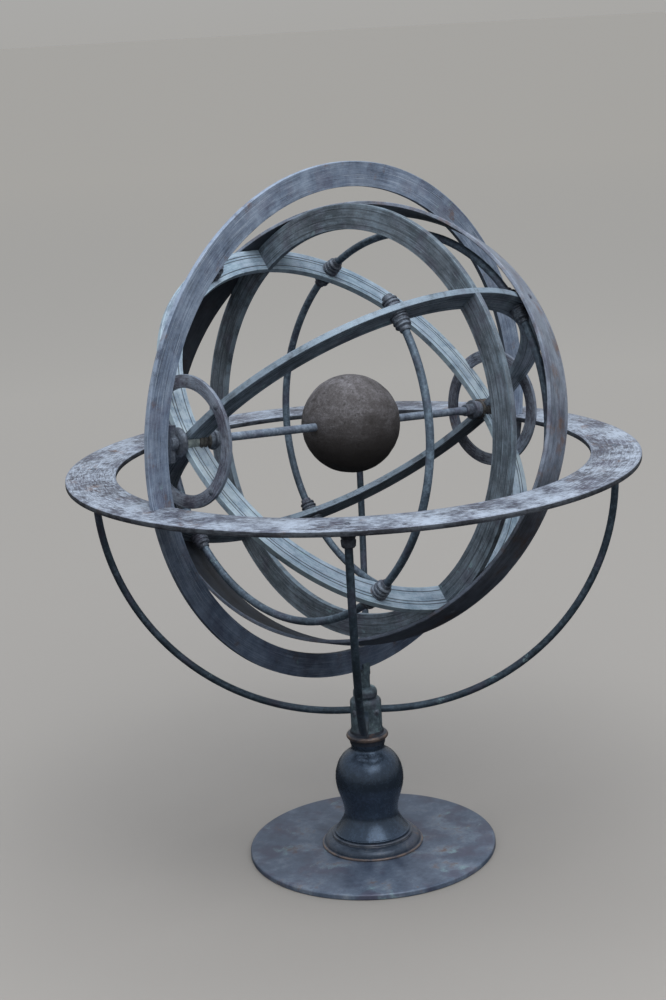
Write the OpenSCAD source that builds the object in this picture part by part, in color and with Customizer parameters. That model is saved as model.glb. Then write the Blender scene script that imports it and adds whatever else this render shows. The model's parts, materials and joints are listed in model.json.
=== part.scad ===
// Armillary sphere on a turned column.
// Four round rods carry a flat horizon ring. The meridian ring stands in two notches of the
// horizon and in a fork above the column, and slides round to set the latitude. The inner
// sphere of flat rings turns with its axle in two bearings on the meridian's inner edge.
// Millimetres, +Z up, origin in the middle of the base plate's underside. The meridian ring
// lies in the XZ plane and the north pole points towards -X.

/* [Base] */
// Diameter of the round base plate
base_d = 207; // [140:1:260]
// Thickness of the base plate
base_t = 5; // [4:0.5:12]
// Diameter of the turned flange on the base plate
flange_d = 85; // [74:1:120]
// Height of the turned flange
flange_h = 11; // [9:0.5:22]

/* [Column] */
// Height of the vase-shaped baluster
baluster_h = 79; // [60:1:140]
// Diameter of the baluster's bulb
bulb_d = 57; // [46:1:68]
// Diameter of the baluster's neck
neck_d = 27.5; // [18:1:30]
// Diameter of the baluster's waist, below the bulb
waist_d = 45; // [36:1:50]
// Diameter of the collar between the baluster and the head
collar_d = 35; // [32:1:44]
// Height of the collar
collar_h = 11; // [8:0.5:16]
// Diameter of the head that holds the cradle rods
head_d = 26; // [24:0.5:34]
// Height of the head
head_h = 28; // [26:0.5:44]
// Height of the cradle rods above the head's underside
rod_level = 17; // [15:0.5:18]
// Diameter of the bolt that ties the column together
tie_d = 6; // [4:0.5:8]

/* [Cradle] */
// Diameter of the four cradle rods
rod_d = 6; // [5:0.25:7]
// Largest diameter of the turned ferrules under the horizon ring
ferrule_d = 17; // [13:0.5:22]
// Height of the turned ferrules
ferrule_h = 13; // [10:0.5:18]
// Straight length of each cradle rod outside the head
rod_straight = 6; // [2:0.5:20]
// Height from the cradle rods up to the lowest point of the meridian ring
nadir_gap = 36; // [34:1:60]

/* [Meridian ring] */
// Outer diameter of the meridian ring, which sets the size of the whole sphere
meridian_d = 414; // [300:1:520]
// Radial width of the meridian ring
meridian_w = 19.5; // [14:0.5:26]
// Thickness of the meridian ring
meridian_t = 4; // [3.5:0.25:6]
// Height of the meridian ring's centre above the horizon ring's top
meridian_rise = 28; // [10:1:34]

/* [Horizon ring] */
// Radial width of the horizon ring
horizon_w = 40; // [32:1:60]
// Thickness of the horizon ring
horizon_t = 4; // [3:0.25:7]
// Space between the meridian's inner radius and the horizon's inner radius
horizon_gap = 2.5; // [1:0.25:6]

/* [Inner sphere] */
// Space between the inner sphere's flat rings and the meridian ring
sphere_gap = 13.5; // [12:0.5:24]
// Radial width of the equator and colure rings
sphere_w = 20; // [14:0.5:26]
// Thickness of the equator and colure rings
sphere_t = 5; // [4:0.25:7]
// Width of the ecliptic band
ecliptic_w = 38; // [24:1:50]
// Thickness of the ecliptic band
ecliptic_t = 3; // [2:0.25:4]
// Tilt of the ecliptic to the equator, in degrees
obliquity = 23.5; // [20:0.5:27]
// Diameter of the round rods that form the tropics
tropic_d = 6.2; // [4:0.2:7]
// Outer diameter of the polar circles
polar_d = 100; // [84:1:130]
// Radial width of the polar circles
polar_w = 10; // [7:0.5:14]
// Thickness of the polar circles
polar_t = 3; // [2:0.25:4]
// Diameter of the ball that stands for the Earth
ball_d = 80; // [50:1:110]

/* [Axle] */
// Diameter of the polar axle
axle_d = 6.5; // [5:0.25:8]
// Diameter of the bosses that hold the colures at the poles
boss_d = 17; // [15:0.5:22]
// Length of each boss along the axle
boss_len = 26; // [24:0.5:34]
// Length of the turned collar inside each boss
inner_collar_len = 16; // [10:0.5:24]
// Length of each bearing bracket along the meridian ring
bracket_len = 28; // [26:0.5:40]
// Width of each bearing bracket across the meridian ring
bracket_w = 9; // [8:0.5:14]
// Diameter of each bearing barrel
barrel_d = 13; // [12:0.5:16]

/* [Resting position] */
// Height of the north pole above level, in degrees
pole_height = 5.6; // [-80:0.1:80]
// Turn of the inner sphere about its axle, in degrees
sphere_turn = 41; // [0:1:89]

/* [Fits] */
// Clearance on each side where the meridian ring slides in its notches and fork
slide_gap = 0.3; // [0.2:0.05:0.6]
// Radial running clearance of the axle in its bearings
running_gap = 0.05; // [0.02:0.01:0.1]
// Clearance round pieces that are pinned, screwed or soldered together
joint_gap = 0.05; // [0.02:0.01:0.1]

/* [Hidden] */
// Metals
bronze = [0.32, 0.35, 0.40];
pale_bronze = [0.45, 0.50, 0.57];
dark_bronze = [0.20, 0.22, 0.26];
earth_brown = [0.30, 0.26, 0.23];
worn_brass = [0.45, 0.40, 0.30];

// Column, from the base up
edge_r = 1.5;
flange_z = base_t;
baluster_z = flange_z + flange_h;
collar_z = baluster_z + baluster_h;
head_z = collar_z + collar_h;
rod_z = head_z + rod_level;
head_top = head_z + head_h;
cap_d = 20;
cap_h = 9;
cap_top = head_top + cap_h;
cap_spigot_d = 9;
cap_spigot_h = 5;
foot_d = flange_d - 17;
bead_r = 1.2;
tie_top = rod_z - rod_d / 2 - 2;
tie_head_d = 2.4 * tie_d;
tie_recess = 0.4;

// Rings
meridian_r = meridian_d / 2;
meridian_in = meridian_r - meridian_w;
horizon_z = rod_z + nadir_gap + meridian_r - meridian_rise;
centre_z = horizon_z + meridian_rise;
horizon_in = meridian_in + horizon_gap;
horizon_r = horizon_in + horizon_w;
notch_r = sqrt(pow(meridian_r, 2) - pow(meridian_rise, 2)) + slide_gap;
notch_w = meridian_t + 2 * slide_gap;
sphere_r = meridian_in - sphere_gap;
sphere_in = sphere_r - sphere_w;
lap_r = (sphere_r + sphere_in) / 2;
ecliptic_in = sphere_r + joint_gap;
ecliptic_r = ecliptic_in + ecliptic_t;
polar_r = polar_d / 2;
polar_z = sqrt(pow(sphere_r, 2) - pow(polar_r, 2));
tropic_r = lap_r * cos(obliquity);
tropic_z = lap_r * sin(obliquity);

// Cradle rods
rod_spacing = [45, 135, 225, 315];
rod_r = horizon_in + horizon_w / 2;
rod_depth = 7;
ferrule_z = horizon_z - horizon_t - ferrule_h;
rod_bend = min(ferrule_z - rod_z, rod_r - head_d / 2 - rod_straight);

// Fork under the meridian ring
fork_bite = 5;
fork_wall = 1.6;
fork_len = 7;
fork_d = 2 * fork_wall + notch_w;
nadir_z = centre_z - meridian_r;

// Axle and bearings, measured from the sphere's centre
axle_end = meridian_in - 3;
boss_out = sphere_r + 2;
nut_len = 4.5;
nut_d = 23;
nut_out = boss_out + nut_len;
barrel_in = nut_out + 0.6;
saddle_t = 4.5;
saddle_screw_y = bracket_len / 2 - 4;
saddle_screw_d = 2.4;
saddle_screw_depth = 8;

// Tropic ferrules
tip_len = 13;
tip_d = 14;
tip_angle = asin((tip_len / 2 + sphere_t / 2 + joint_gap) / tropic_r);
tip_sag = pow(tip_len, 2) / (8 * tropic_r);
tropic_end_angle = asin((sphere_t / 2 + joint_gap) / (tropic_r - tropic_d / 2));

// Rivets and small screws
rivet_d = 2.5;
rivet_head_d = 5;
rivet_head_h = 1.1;
rivet_depth = 6;
head_screw_d = 4;
head_screw_head_d = 7;
head_screw_seat = 0.6;

$fn = 96;
ring_fn = 180;

// A flat ring round the Z axis, centred on z = 0
module flat_ring(outer, inner, t) {
    rotate_extrude($fn = ring_fn)
        translate([inner, -t / 2])
            square([outer - inner, t]);
}

// A round bar along +Z
module bar(d, length) {
    cylinder(d = d, h = length);
}

// A rivet along +Z: its shank runs down from z = 0 and its domed head stands above
module rivet(shank, head, head_h, depth) {
    translate([0, 0, -depth])
        cylinder(d = shank, h = depth + head_h / 2, $fn = 24);
    cap_r = (pow(head / 2, 2) + pow(head_h, 2)) / (2 * head_h);
    intersection() {
        translate([0, 0, head_h - cap_r])
            sphere(r = cap_r, $fn = 48);
        cylinder(d = head, h = head_h, $fn = 32);
    }
}

// A turned solid from stations [radius, z], with a bore up the middle
module turned(stations, bore) {
    low = stations[0][1];
    high = stations[len(stations) - 1][1];
    difference() {
        rotate_extrude()
            polygon(concat([[0, low]], stations, [[0, high]]));
        translate([0, 0, low - 1])
            cylinder(d = bore, h = high - low + 2);
    }
}

// Points of a smooth S-shaped stretch of a turned outline
function blend(r1, z1, r2, z2, steps = 8) =
    [for (i = [0 : steps])
        let (s = i / steps)
        [r1 + (r2 - r1) * (1 - cos(180 * s)) / 2, z1 + (z2 - z1) * s]];

// Points of a round stretch about a centre, from angle a1 to angle a2
function round_part(r, z, rad, a1, a2, steps = 8) =
    [for (i = [0 : steps])
        let (a = a1 + (a2 - a1) * i / steps)
        [r + rad * cos(a), z + rad * sin(a)]];

// Puts its children in the meridian ring's frame, with +Z towards the north pole
module on_meridian() {
    translate([0, 0, centre_z])
        rotate([0, pole_height - 90, 0])
            children();
}

// Puts its children in the inner sphere's frame: +Z north, +X at an equinox
module on_sphere() {
    on_meridian()
        rotate([0, 0, sphere_turn])
            children();
}

// Puts its children at one pole, with +Z pointing outwards along the axle
module at_pole(north) {
    rotate([north ? 0 : 180, 0, 0])
        children();
}

// ---------- column ----------

module base_plate() {
    color(bronze)
        difference() {
            rotate_extrude($fn = ring_fn)
                polygon(concat(
                    [[0, 0], [base_d / 2 - edge_r / 2, 0], [base_d / 2, edge_r / 2]],
                    round_part(base_d / 2 - edge_r, base_t - edge_r, edge_r, 0, 90, 5),
                    [[0, base_t]]));
            translate([0, 0, -1])
                cylinder(d = tie_d + 2 * joint_gap, h = base_t + 2);
            tie_countersink(joint_gap);
        }
}

// The cone that the tie bolt's head fills
module tie_countersink(gap) {
    cone_h = min((tie_head_d - tie_d) / 2, base_t - tie_recess - 1);
    translate([0, 0, -1])
        cylinder(d = tie_head_d + 2 * gap, h = 1 + tie_recess);
    translate([0, 0, tie_recess])
        cylinder(d1 = tie_head_d + 2 * gap, d2 = tie_d + 2 * gap, h = cone_h);
}

module base_flange() {
    rim_r = flange_d / 2;
    lip_r = foot_d / 2;
    side_h = flange_h - 4.8;
    color(dark_bronze)
        turned(concat(
            [[rim_r - 0.5, flange_z]],
            round_part(rim_r - 1, flange_z + 1, 1, -60, 90, 5),
            [for (a = [0 : 15 : 90])
                [lip_r - 0.4 + (rim_r - 1.6 - lip_r) * cos(a), flange_z + 2.2 + side_h * sin(a)]],
            round_part(lip_r - bead_r, baluster_z - bead_r, bead_r, -60, 90),
            [[lip_r - 2.4, baluster_z]]),
            tie_d + 2 * joint_gap);
}

module baluster() {
    foot_r = foot_d / 2 - 2.2;
    flare_r = foot_r - 1.2;
    flare_z = baluster_z + 1.8;
    waist_z = baluster_z + baluster_h * 0.22;
    bulb_z = baluster_z + baluster_h * 0.6;
    neck_z = baluster_z + baluster_h * 0.93;
    shoulder_h = neck_z - bulb_z;
    color(dark_bronze)
        turned(concat(
            [[foot_r - 0.4, baluster_z]],
            round_part(foot_r - 0.9, baluster_z + 0.9, 0.9, -40, 90, 5),
            [for (t = [0 : 0.125 : 0.9])
                [waist_d / 2 + (flare_r - waist_d / 2) * pow(1 - t, 1.5), flare_z + (waist_z - flare_z) * t]],
            blend(waist_d / 2, waist_z, bulb_d / 2, bulb_z, 12),
            [for (a = [12 : 12 : 84])
                [neck_d / 2 + (bulb_d - neck_d) / 2 * pow(cos(a), 1.1), bulb_z + shoulder_h * 0.92 * sin(a)]],
            [[neck_d / 2, neck_z], [neck_d / 2 + 1, collar_z]]),
            tie_d + 2 * joint_gap);
}

module collar() {
    lip_z = collar_z + collar_h * 0.55;
    lip_r = 2.4;
    color(worn_brass)
        turned(concat(
            [[neck_d / 2 + 1, collar_z]],
            blend(neck_d / 2 + 1, collar_z + 0.4, collar_d / 2 - lip_r, lip_z - lip_r, 6),
            round_part(collar_d / 2 - lip_r, lip_z, lip_r, -80, 90),
            [[head_d / 2 + 1.2, lip_z + lip_r + 0.4], [head_d / 2 + 0.8, collar_z + collar_h]]),
            tie_d + 2 * joint_gap);
}

// Round head with a bore for each cradle rod, the tie bolt, the cap and four small screws
module cradle_head() {
    color(bronze)
        difference() {
            rotate_extrude()
                polygon(concat(
                    [[0, head_z], [head_d / 2 + 0.6, head_z], [head_d / 2, head_z + 2]],
                    round_part(head_d / 2 - 4, head_top - 4, 4, 0, 90, 5),
                    [[0, head_top]]));
            translate([0, 0, head_z - 1])
                cylinder(d = tie_d + 2 * joint_gap, h = tie_top - head_z + 1.5);
            translate([0, 0, head_top - cap_spigot_h - 0.5])
                cylinder(d = cap_spigot_d + 2 * joint_gap, h = cap_spigot_h + 1);
            for (a = rod_spacing)
                translate([0, 0, rod_z])
                    rotate([0, 90, a])
                        translate([0, 0, head_d / 2 - rod_depth])
                            cylinder(d = rod_d + 2 * joint_gap, h = rod_depth + 1);
            head_screw_places() {
                cylinder(d = head_screw_head_d + 2 * joint_gap, h = 5, $fn = 48);
                translate([0, 0, -4.2])
                    cylinder(d = head_screw_d + 2 * joint_gap, h = 5, $fn = 32);
            }
        }
}

// Four places round the head, with +Z pointing outwards from its side
module head_screw_places() {
    for (a = [0 : 90 : 270])
        translate([0, 0, rod_z])
            rotate([0, 90, a])
                translate([0, 0, head_d / 2 - head_screw_seat])
                    children();
}

module head_screws() {
    color(worn_brass)
        head_screw_places()
            rivet(head_screw_d, head_screw_head_d, 1.4, 4);
}

// Cap on the head, with a post whose fork guides the meridian ring's lowest point
module fork_cap() {
    fork_top = nadir_z + fork_bite;
    color(bronze)
        difference() {
            union() {
                translate([0, 0, head_top - cap_spigot_h])
                    cylinder(d = cap_spigot_d, h = cap_spigot_h + 1);
                rotate_extrude()
                    polygon(concat(
                        [[0, head_top], [cap_d / 2 - 1.4, head_top], [cap_d / 2, head_top + 2.2]],
                        round_part(cap_d / 2 - 4, cap_top - 4, 4, 0, 90, 8),
                        [[0, cap_top]]));
                translate([0, 0, cap_top - 1])
                    cylinder(d = fork_d + 1.4, h = nadir_z - 3 - cap_top + 1, $fn = 48);
                translate([-fork_len / 2, -fork_d / 2, nadir_z - 5])
                    cube([fork_len, fork_d, fork_top - nadir_z + 5]);
            }
            translate([0, 0, centre_z])
                rotate([90, 0, 0])
                    translate([0, 0, -notch_w / 2])
                        cylinder(r = meridian_r + slide_gap, h = notch_w, $fn = ring_fn);
        }
}

module tie_bolt() {
    color(worn_brass)
        union() {
            translate([0, 0, tie_recess])
                cylinder(d = tie_d, h = tie_top - tie_recess);
            difference() {
                tie_countersink(0);
                translate([0, 0, -2])
                    cylinder(d = 2 * tie_head_d, h = 2 + tie_recess);
            }
        }
}

// ---------- cradle ----------

// One rod: a stub in the head, a bend, and a straight end that goes up through its ferrule
module cradle_rod(a) {
    stub_in = head_d / 2 - rod_depth + joint_gap;
    bend_x = rod_r - rod_bend;
    color(bronze)
        rotate([0, 0, a])
            union() {
                translate([stub_in, 0, rod_z])
                    rotate([0, 90, 0])
                        bar(rod_d, bend_x - stub_in);
                translate([bend_x, 0, rod_z + rod_bend])
                    rotate([90, 0, 0])
                        rotate([0, 0, -90])
                            rotate_extrude(angle = 90, $fn = ring_fn)
                                translate([rod_bend, 0])
                                    circle(d = rod_d, $fn = 48);
                translate([rod_r, 0, rod_z + rod_bend])
                    bar(rod_d, horizon_z - horizon_t - rod_z - rod_bend);
            }
}

module ferrule(a) {
    top_z = ferrule_z + ferrule_h;
    color(dark_bronze)
        rotate([0, 0, a])
            translate([rod_r, 0, 0])
                turned(concat(
                    [[rod_d / 2 + 1.4, ferrule_z], [rod_d / 2 + 2.2, ferrule_z + 1]],
                    [[rod_d / 2 + 2.6, ferrule_z + ferrule_h * 0.4]],
                    [[rod_d / 2 + 1.8, ferrule_z + ferrule_h * 0.5]],
                    blend(rod_d / 2 + 2.4, ferrule_z + ferrule_h * 0.55,
                        ferrule_d / 2, top_z - 1.5, 6),
                    [[ferrule_d / 2, top_z - 0.1]]),
                    rod_d + 2 * joint_gap);
}

// ---------- horizon ----------

module horizon_ring() {
    color(pale_bronze)
        difference() {
            translate([0, 0, horizon_z - horizon_t / 2])
                flat_ring(horizon_r, horizon_in, horizon_t);
            for (side = [-1, 1])
                translate([side * (horizon_in - 1 + notch_r) / 2, 0, horizon_z])
                    cube([notch_r - horizon_in + 1, notch_w, 3 * horizon_t], center = true);
            horizon_rivet_places()
                translate([0, 0, -horizon_t - 1])
                    cylinder(d = rivet_d + 2 * joint_gap, h = horizon_t + 2, $fn = 24);
        }
}

module horizon_rivet_places() {
    for (a = rod_spacing)
        rotate([0, 0, a])
            translate([rod_r, 0, horizon_z])
                children();
}

module horizon_rivets() {
    color(worn_brass)
        horizon_rivet_places()
            rivet(rivet_d, rivet_head_d, rivet_head_h, horizon_t - 0.1);
}

// ---------- meridian ----------

module meridian_ring() {
    color(pale_bronze)
        difference() {
            on_meridian()
                rotate([90, 0, 0])
                    flat_ring(meridian_r, meridian_in, meridian_t);
            saddle_screw_places(true)
                saddle_screw_hole();
            saddle_screw_places(false)
                saddle_screw_hole();
        }
}

module saddle_screw_places(north) {
    on_meridian()
        at_pole(north)
            for (side = [-1, 1])
                translate([side * saddle_screw_y, 0, meridian_in - saddle_t])
                    children();
}

module saddle_screw_hole() {
    translate([0, 0, -5])
        cylinder(d = saddle_screw_d + 2 * joint_gap, h = 5 + saddle_t + saddle_screw_depth + 0.2, $fn = 24);
}

// Saddle against the meridian's inner edge, with a barrel that the axle turns in
module pole_bearing(north) {
    color(dark_bronze)
        difference() {
            on_meridian()
                at_pole(north)
                    difference() {
                        union() {
                            intersection() {
                                translate([-bracket_len / 2, -bracket_w / 2, meridian_in - saddle_t])
                                    cube([bracket_len, bracket_w, saddle_t + 2]);
                                rotate([90, 0, 0])
                                    translate([0, 0, -bracket_w])
                                        cylinder(r = meridian_in - joint_gap, h = 2 * bracket_w, $fn = ring_fn);
                            }
                            translate([0, 0, barrel_in])
                                cylinder(d = barrel_d, h = meridian_in - 1 - barrel_in);
                        }
                        translate([0, 0, barrel_in - 1])
                            cylinder(d = axle_d + 2 * running_gap, h = 20);
                    }
            saddle_screw_places(north)
                saddle_screw_hole();
        }
}

module bearing_screws() {
    color(worn_brass)
        for (north = [true, false])
            saddle_screw_places(north)
                rotate([180, 0, 0])
                    rivet(saddle_screw_d, 5.2, 1.6, saddle_t + saddle_screw_depth);
}

// ---------- inner sphere ----------

module equator_ring() {
    color(bronze)
        on_sphere()
            difference() {
                flat_ring(sphere_r, sphere_in, sphere_t);
                for (a = [0 : 90 : 270])
                    rotate([0, 0, a])
                        translate([lap_r - joint_gap, -sphere_t / 2 - joint_gap, -sphere_t])
                            cube([sphere_w, sphere_t + 2 * joint_gap, 2 * sphere_t]);
            }
}

// Half of a colure, from boss to boss, at angle a round the axle
module colure_half(a) {
    big = 3 * sphere_r;
    color(a == 0 || a == 180 ? pale_bronze : bronze)
        on_sphere()
            difference() {
                rotate([0, 0, a])
                    difference() {
                        rotate([90, 0, 0])
                            flat_ring(sphere_r, sphere_in, sphere_t);
                        translate([-big, -big / 2, -big / 2])
                            cube([big, big, big]);
                        translate([0, 0, -big / 2])
                            cylinder(d = boss_d + 2 * joint_gap, h = big);
                        translate([sphere_in - 1, -sphere_t, -sphere_t / 2 - joint_gap])
                            cube([lap_r - sphere_in + 1, 2 * sphere_t, sphere_t + 2 * joint_gap]);
                    }
                for (north = [true, false])
                    at_pole(north) {
                        polar_seat();
                        polar_rivet_places()
                            polar_rivet_hole();
                    }
                ecliptic_rivet_places()
                    ecliptic_rivet_hole();
            }
}

// Room that the polar circle takes out of the colures
module polar_seat() {
    translate([0, 0, polar_z - joint_gap])
        difference() {
            cylinder(r = polar_r + joint_gap + 8, h = 3 * polar_t, $fn = ring_fn);
            translate([0, 0, -1])
                cylinder(r = polar_r - polar_w - joint_gap, h = 3 * polar_t + 2, $fn = ring_fn);
        }
}

module polar_rivet_places() {
    for (a = [0 : 90 : 270])
        rotate([0, 0, a])
            translate([polar_r - polar_w / 2, 0, polar_z + polar_t])
                children();
}

module polar_rivet_hole() {
    translate([0, 0, -polar_t - rivet_depth - 0.2])
        cylinder(d = rivet_d + 2 * joint_gap, h = polar_t + rivet_depth + 1, $fn = 24);
}

module polar_circle(north) {
    color(dark_bronze)
        on_sphere()
            at_pole(north)
                difference() {
                    translate([0, 0, polar_z + polar_t / 2])
                        flat_ring(polar_r, polar_r - polar_w, polar_t);
                    polar_rivet_places()
                        polar_rivet_hole();
                }
}

module polar_rivets() {
    color(worn_brass)
        on_sphere()
            for (north = [true, false])
                at_pole(north)
                    polar_rivet_places()
                        rivet(rivet_d, rivet_head_d, rivet_head_h, polar_t + rivet_depth);
}

// Four places round the ecliptic band, with +Z pointing outwards
module ecliptic_rivet_places() {
    rotate([obliquity, 0, 0])
        for (a = [0 : 90 : 270])
            rotate([0, 90, a])
                translate([0, 0, ecliptic_r])
                    children();
}

module ecliptic_rivet_hole() {
    translate([0, 0, -ecliptic_t - rivet_depth - 0.2])
        cylinder(d = rivet_d + 2 * joint_gap, h = ecliptic_t + rivet_depth + 2, $fn = 24);
}

module ecliptic_band() {
    color(bronze)
        on_sphere()
            difference() {
                rotate([obliquity, 0, 0])
                    flat_ring(ecliptic_r, ecliptic_in, ecliptic_w);
                ecliptic_rivet_places()
                    ecliptic_rivet_hole();
            }
}

module ecliptic_rivets() {
    color(worn_brass)
        on_sphere()
            ecliptic_rivet_places()
                rivet(rivet_d, rivet_head_d, rivet_head_h, ecliptic_t + rivet_depth);
}

// Quarter of a tropic, from the colure at angle a to the next one. The northern tropic has
// lost its fourth quarter, and its two empty ferrules are still there.
module tropic_quarter(north, a) {
    color(bronze)
        on_sphere()
            translate([0, 0, north ? tropic_z : -tropic_z])
                rotate([0, 0, a + tropic_end_angle])
                    rotate_extrude(angle = 90 - 2 * tropic_end_angle, $fn = ring_fn)
                        translate([tropic_r, 0])
                            circle(d = tropic_d, $fn = 48);
}

// One ferrule on each side of the colure at angle a, its wide end cut flush to the colure
module tropic_ferrule_pair(a) {
    for (side = [0, 1])
        rotate([0, 0, a])
            mirror([0, side, 0])
                difference() {
                    rotate([0, 0, tip_angle])
                        translate([tropic_r - tip_sag / 2, tip_len / 2, 0])
                            rotate([90, 0, 0])
                                tropic_ferrule();
                    translate([tropic_r - tip_d, sphere_t / 2 + joint_gap - 2 * tip_d, -tip_d])
                        cube([2 * tip_d, 2 * tip_d, 2 * tip_d]);
                }
}

// A turned ferrule with three beads, its wide end at the top
module tropic_ferrule() {
    tip_r = tip_d / 2;
    turned([
        [tropic_d / 2 + 1, 0],
        [tropic_d / 2 + 1.4, tip_len * 0.2],
        [tip_r - 1.4, tip_len * 0.25],
        [tip_r - 0.8, tip_len * 0.38],
        [tip_r - 1.6, tip_len * 0.46],
        [tip_r - 0.4, tip_len * 0.56],
        [tip_r - 0.4, tip_len * 0.64],
        [tip_r - 1.2, tip_len * 0.7],
        [tip_r, tip_len * 0.8],
        [tip_r, tip_len + 1]],
        tropic_d + 2 * joint_gap + tip_sag);
}

module tropic_ferrules(north) {
    color(dark_bronze)
        on_sphere()
            translate([0, 0, north ? tropic_z : -tropic_z])
                for (a = [0 : 90 : 270])
                    tropic_ferrule_pair(a);
}

// ---------- axle ----------

module polar_axle() {
    color(pale_bronze)
        on_sphere()
            translate([0, 0, -axle_end])
                cylinder(d = axle_d, h = 2 * axle_end);
}

module earth_ball() {
    color(earth_brown)
        on_sphere()
            difference() {
                sphere(d = ball_d, $fn = 128);
                translate([0, 0, -ball_d])
                    cylinder(d = axle_d + 2 * joint_gap, h = 2 * ball_d);
            }
}

module pole_boss(north) {
    color(worn_brass)
        on_sphere()
            at_pole(north)
                translate([0, 0, boss_out - boss_len])
                    turned([
                        [boss_d / 2 - 1, 0],
                        [boss_d / 2, 1],
                        [boss_d / 2, boss_len]],
                        axle_d + 2 * joint_gap);
}

module pole_collar(north) {
    color(dark_bronze)
        on_sphere()
            at_pole(north)
                translate([0, 0, boss_out - boss_len - inner_collar_len - joint_gap])
                    turned(concat(
                        [[axle_d / 2 + 1.2, 0], [axle_d / 2 + 1.8, 0.6]],
                        [[axle_d / 2 + 1.8, inner_collar_len * 0.5]],
                        round_part(boss_d / 2 - 2, inner_collar_len * 0.62, 1.8, -90, 90, 6),
                        [[boss_d / 2 - 1.5, inner_collar_len * 0.78]],
                        [[boss_d / 2 - 1.5, inner_collar_len]]),
                        axle_d + 2 * joint_gap);
}

module pole_nut(north) {
    color(dark_bronze)
        on_sphere()
            at_pole(north)
                translate([0, 0, boss_out + joint_gap])
                    turned(concat(
                        [[nut_d / 2 - 0.4, 0], [nut_d / 2, 0.4], [nut_d / 2, 1.4]],
                        [for (a = [20 : 14 : 76])
                            [axle_d / 2 + 2 + (nut_d / 2 - axle_d / 2 - 2) * cos(a),
                                1.4 + (nut_len - 1.4) * sin(a)]],
                        [[axle_d / 2 + 1.4, nut_len]]),
                        axle_d + 2 * joint_gap);
}

base_plate();
base_flange();
baluster();
collar();
cradle_head();
head_screws();
fork_cap();
tie_bolt();
cradle_rod(rod_spacing[0]);  // cradle_rod_1
cradle_rod(rod_spacing[1]);  // cradle_rod_2
cradle_rod(rod_spacing[2]);  // cradle_rod_3
cradle_rod(rod_spacing[3]);  // cradle_rod_4
ferrule(rod_spacing[0]);  // ferrule_1
ferrule(rod_spacing[1]);  // ferrule_2
ferrule(rod_spacing[2]);  // ferrule_3
ferrule(rod_spacing[3]);  // ferrule_4
horizon_ring();
horizon_rivets();
meridian_ring();
pole_bearing(true);  // north_bearing
pole_bearing(false);  // south_bearing
bearing_screws();
equator_ring();
colure_half(0);  // equinox_colure_1
colure_half(180);  // equinox_colure_2
colure_half(90);  // solstice_colure_1
colure_half(270);  // solstice_colure_2
ecliptic_band();
ecliptic_rivets();
tropic_quarter(true, 0);  // north_tropic_1
tropic_quarter(true, 90);  // north_tropic_2
tropic_quarter(true, 180);  // north_tropic_3
tropic_quarter(false, 0);  // south_tropic_1
tropic_quarter(false, 90);  // south_tropic_2
tropic_quarter(false, 180);  // south_tropic_3
tropic_quarter(false, 270);  // south_tropic_4
tropic_ferrules(true);  // north_tropic_ferrules
tropic_ferrules(false);  // south_tropic_ferrules
polar_circle(true);  // north_polar_circle
polar_circle(false);  // south_polar_circle
polar_rivets();
polar_axle();
earth_ball();
pole_boss(true);  // north_boss
pole_boss(false);  // south_boss
pole_collar(true);  // north_collar
pole_collar(false);  // south_collar
pole_nut(true);  // north_nut
pole_nut(false);  // south_nut
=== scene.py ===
"""Armillary sphere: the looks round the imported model."""

import json
from math import asin, cos, pi, radians, sin, sqrt

import bmesh
import bpy
from mathutils import Matrix, Vector, noise


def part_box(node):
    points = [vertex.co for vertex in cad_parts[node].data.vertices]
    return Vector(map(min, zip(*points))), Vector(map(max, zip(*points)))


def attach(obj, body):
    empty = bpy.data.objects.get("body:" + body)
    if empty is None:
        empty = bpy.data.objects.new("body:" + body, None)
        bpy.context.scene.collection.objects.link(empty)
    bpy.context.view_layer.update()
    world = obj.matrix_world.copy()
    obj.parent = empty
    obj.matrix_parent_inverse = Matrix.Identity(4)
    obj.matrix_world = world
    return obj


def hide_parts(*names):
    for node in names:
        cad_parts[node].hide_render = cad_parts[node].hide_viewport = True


MM = 0.001
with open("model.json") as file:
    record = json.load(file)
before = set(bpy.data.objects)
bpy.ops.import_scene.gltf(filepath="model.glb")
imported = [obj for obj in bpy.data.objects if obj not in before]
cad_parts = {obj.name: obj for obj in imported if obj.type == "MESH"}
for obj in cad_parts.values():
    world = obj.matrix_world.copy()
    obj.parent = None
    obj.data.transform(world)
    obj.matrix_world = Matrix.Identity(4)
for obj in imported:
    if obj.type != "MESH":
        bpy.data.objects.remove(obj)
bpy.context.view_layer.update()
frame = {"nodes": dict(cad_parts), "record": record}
joints = {j["name"]: j for j in frame["record"]["behaviour"]["joints"]}


# ---------- sizes read from the frame ----------

def span(node, axis):
    low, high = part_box(node)
    return high[axis] - low[axis]


CENTRE = Vector(joints["sphere_spin"]["pos_m"])
POLE = Vector(joints["sphere_spin"]["axis"]).normalized()

BASE_R = span("base_plate", 0) / 2
BASE_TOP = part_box("base_plate")[1].z
FLANGE_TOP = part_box("base_flange")[1].z
FLANGE_R = span("base_flange", 0) / 2
BALUSTER_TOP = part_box("baluster")[1].z
FOOT_R = FLANGE_R - 8.5 * MM
BULB_R = 28.5 * MM
COLLAR_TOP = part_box("collar")[1].z
COLLAR_R = span("collar", 0) / 2
HEAD_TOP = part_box("cradle_head")[1].z
HEAD_FOOT = 0.6 * MM
HEAD_R = span("cradle_head", 0) / 2 - HEAD_FOOT

HORIZON_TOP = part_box("horizon_ring")[1].z
HORIZON_T = span("horizon_ring", 2)
HORIZON_R = span("horizon_ring", 0) / 2
HORIZON_W = 40 * MM
HORIZON_IN = HORIZON_R - HORIZON_W
HORIZON_EASED = 0.6 * MM
NOTCH_W = 4.6 * MM
NOTCH_GAP = 0.3 * MM    # between the end of a notch and the meridian

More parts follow.
